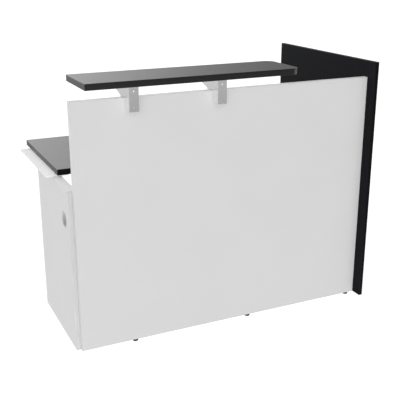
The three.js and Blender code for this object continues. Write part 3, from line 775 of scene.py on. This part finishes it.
for i, y in enumerate((70.0, 470.0)):
    prof = [(0, -9.0), (10.6, -9.0), (11.4, -8.85), (11.85, -8.4), (12.0, -7.9), (12.0, -5.7), (11.6, -5.3), (1.2, -5.3), (1.2, 4.0), (0, 7.0)]
    keep(to_object(lathe([(r * MM, z * MM) for r, z in prof], 64, None, P((LEG_X0 + LEG_X1) / 2, y, 0)), f"leg_glide_{i + 1}_disc", PORT, 35), "desk", "port_plastic", f"leg_glide_{i + 1}")

# ------------------------------------------------------------------ CAD nodes that stay
STAY = {"foot_insert": ZINC, "end_bolt": ZINC, "leg_bolt": ZINC, "plate_screw": ZINC, "end_dowel": BEECH, "leg_dowel": BEECH}
for name, ob in frame["nodes"].items():
    for prefix, mat in STAY.items():
        if name.startswith(prefix):
            if ob.data.materials:
                for s in ob.material_slots:
                    s.material = mat
            else:
                ob.data.materials.append(mat)

# ------------------------------------------------------------------ floor and light
bm = bmesh.new()
bmesh.ops.create_grid(bm, x_segments=1, y_segments=1, size=60.0)
floor = to_object(bm, "floor", WHITE)
fm, nt, bsdf = new_material("floor_paper")
nt.links.new(ramp(nt, noise(nt, coords(nt), 1.5, 2.0), [(0.3, g(0.19)), (0.7, g(0.21))]), bsdf.inputs["Base Color"])
bsdf.inputs["Roughness"].default_value = 0.9
bsdf.inputs["Specular IOR Level"].default_value = 0.0
bsdf.inputs["Emission Color"].default_value = (1, 1, 1, 1)
bsdf.inputs["Emission Strength"].default_value = 0.98
floor.data.materials.clear()
floor.data.materials.append(fm)
floor.visible_glossy = False
floor.visible_diffuse = False

# a round wall of the same paper, far out, so that low views have a plain pale ground too
bm = bmesh.new()
bmesh.ops.create_cone(bm, cap_ends=False, segments=96, radius1=45.0, radius2=45.0, depth=40.0, matrix=Matrix.Translation((0.0, 0.0, 19.5)))
bmesh.ops.reverse_faces(bm, faces=bm.faces[:])
backdrop = to_object(bm, "backdrop", WHITE)
backdrop.data.materials.clear()
wall_paper = fm.copy()
wall_paper.name = "wall_paper"
wall_paper.cycles.emission_sampling = "NONE"
backdrop.data.materials.append(wall_paper)
backdrop.visible_glossy = False
backdrop.visible_diffuse = False
backdrop.visible_shadow = False

world = bpy.data.worlds.new("studio")
bpy.context.scene.world = world
world.use_nodes = True
wn = world.node_tree
wn.nodes.clear()
wo = wn.nodes.new("ShaderNodeOutputWorld")
bg = wn.nodes.new("ShaderNodeBackground")
tc = wn.nodes.new("ShaderNodeTexCoord")


def toward(v, a, b, lo, hi):
    """Radiance that changes smoothly with the angle from a direction; a and b are cosines."""
    d = wn.nodes.new("ShaderNodeVectorMath")
    d.operation = "DOT_PRODUCT"
    d.inputs[1].default_value = Vector(v).normalized()
    wn.links.new(tc.outputs["Generated"], d.inputs[0])
    r = wn.nodes.new("ShaderNodeMapRange")
    r.interpolation_type = "SMOOTHSTEP"
    r.inputs["From Min"].default_value = a
    r.inputs["From Max"].default_value = b
    r.inputs["To Min"].default_value = lo
    r.inputs["To Max"].default_value = hi
    wn.links.new(d.outputs["Value"], r.inputs["Value"])
    return r.outputs["Result"]


around = toward((0.35, -0.94, 0.0), -0.8, 0.6, 0.34, 0.20)
height = toward((0.0, 0.0, 1.0), 0.0, 1.0, 1.10, 0.40)
back_top = toward((-0.2, 0.65, 0.73), 0.62, 0.95, 0.0, 1.45)
card = math_node(wn, "ADD", toward((-0.1685, 0.9556, 0.2419), 0.669, 0.990, 0.0, 0.30), toward((-0.397, 0.852, 0.342), 0.60, 0.90, 0.0, 0.80))
card = math_node(wn, "ADD", card, toward((0.139, 0.990, 0.0), 0.927, 0.985, 0.0, 0.33))
keys = math_node(wn, "ADD", toward((-0.34, -0.90, 0.27), 0.82, 0.98, 0.0, 1.89), toward((-0.8, -0.15, 0.58), 0.75, 0.97, 0.0, 0.24))
upper = math_node(wn, "ADD", math_node(wn, "ADD", math_node(wn, "MULTIPLY", around, height), back_top), math_node(wn, "ADD", card, keys))
lower = math_node(wn, "MULTIPLY", toward((-0.25, 0.97, 0.0), -1.0, 1.0, 0.53, 0.71), toward((0.0, 0.0, 1.0), -0.27, -0.12, 0.66, 1.0))
under = math_node(wn, "MULTIPLY", toward((-0.34, -0.60, -0.73), 0.60, 0.93, 0.0, 2.9), toward((0.0, 0.0, 1.0), -0.55, -0.30, 1.0, 0.0))
lower = math_node(wn, "ADD", lower, under)
side = toward((0.0, 0.0, 1.0), -0.04, 0.04, 0.0, 1.0)
both = wn.nodes.new("ShaderNodeMix")
wn.links.new(side, both.inputs["Factor"])
wn.links.new(lower, both.inputs["A"])
wn.links.new(upper, both.inputs["B"])
wn.links.new(both.outputs["Result"], bg.inputs["Strength"])
bg.inputs["Color"].default_value = (1, 1, 1, 1)
wn.links.new(bg.outputs["Background"], wo.inputs["Surface"])


def softbox(name, at, target, size_x, size_y, power):
    li = bpy.data.lights.new(name, "AREA")
    li.shape = "RECTANGLE"
    li.size, li.size_y = size_x, size_y
    li.energy = power
    ob = bpy.data.objects.new(name, li)
    bpy.context.scene.collection.objects.link(ob)
    ob.location = at
    ob.rotation_euler = (Vector(target) - Vector(at)).to_track_quat("-Z", "Y").to_euler()
    ob.visible_camera = False
    return ob


softbox("front_light", (-3.0, -7.0, 1.6), (0.1, 0.0, 0.6), 5.0, 2.5, 40.0)

# a faint strip of light in the gap under the shelf, so that the panel's top edge doesn't go dark
gap = bpy.data.lights.new("gap_light", "AREA")
gap.shape = "RECTANGLE"
gap.size = (SX1 - SX0 - 8.0) * MM
gap.size_y = 0.05
gap.energy = 0.26
gap_light = bpy.data.objects.new("gap_light", gap)
gap_light.location = P((SX0 + SX1) / 2, FRONT_T / 2, 1094.0)
gap_light.visible_camera = False
gap_light.visible_glossy = False
bpy.context.scene.collection.objects.link(gap_light)

bpy.context.scene.view_settings.view_transform = "Standard"
bpy.context.scene.view_settings.look = "None"
